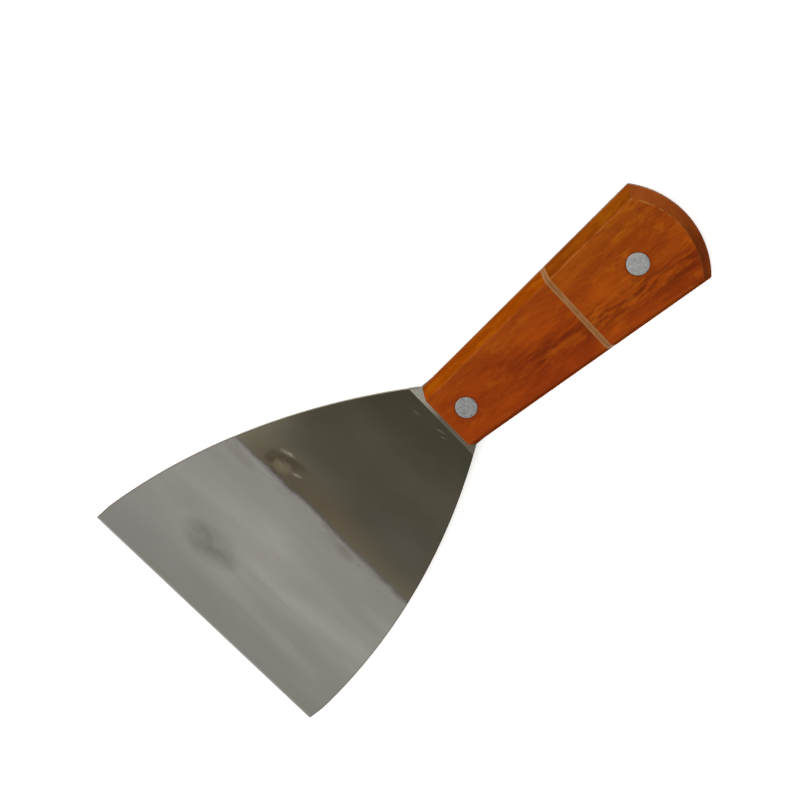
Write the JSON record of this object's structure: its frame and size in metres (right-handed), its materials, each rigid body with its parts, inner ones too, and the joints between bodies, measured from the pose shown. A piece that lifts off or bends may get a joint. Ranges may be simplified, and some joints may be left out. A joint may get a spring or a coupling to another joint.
{
  "type": "flat scraper",
  "caption": "Hand scraper: wide flat steel blade with flaring curved sides and a taper-ground straight edge, on a full tang with riveted wooden scales and pale spacers.",
  "frame": {"origin": "centre of the whole tool's bounding box, in the middle plane of the steel sheet", "axes": "+Y from the working edge to the butt, +X across the blade, +Z out of the upper face"},
  "size_m": [0.1, 0.206, 0.0136],
  "materials": {
    "steel": "satin taper grind at the edge, polished neck, matt unground strip in front of the wood",
    "wood": "reddish-brown hardwood, grain along the handle, thin satin varnish",
    "spacer": "pale wood strip, sanded flush and varnished with the scales",
    "aluminium": "rivet heads sanded flush, matt grey"
  },
  "bodies": {
    "root": {"blade": "steel", "scale_front_upper": "wood", "scale_front_lower": "wood", "spacer_upper": "spacer", "spacer_lower": "spacer", "scale_rear_upper": "wood", "scale_rear_lower": "wood", "rivet_front_tube": "aluminium", "rivet_front_pin": "aluminium", "rivet_rear_tube": "aluminium", "rivet_rear_pin": "aluminium"}
  },
  "joints": []
}
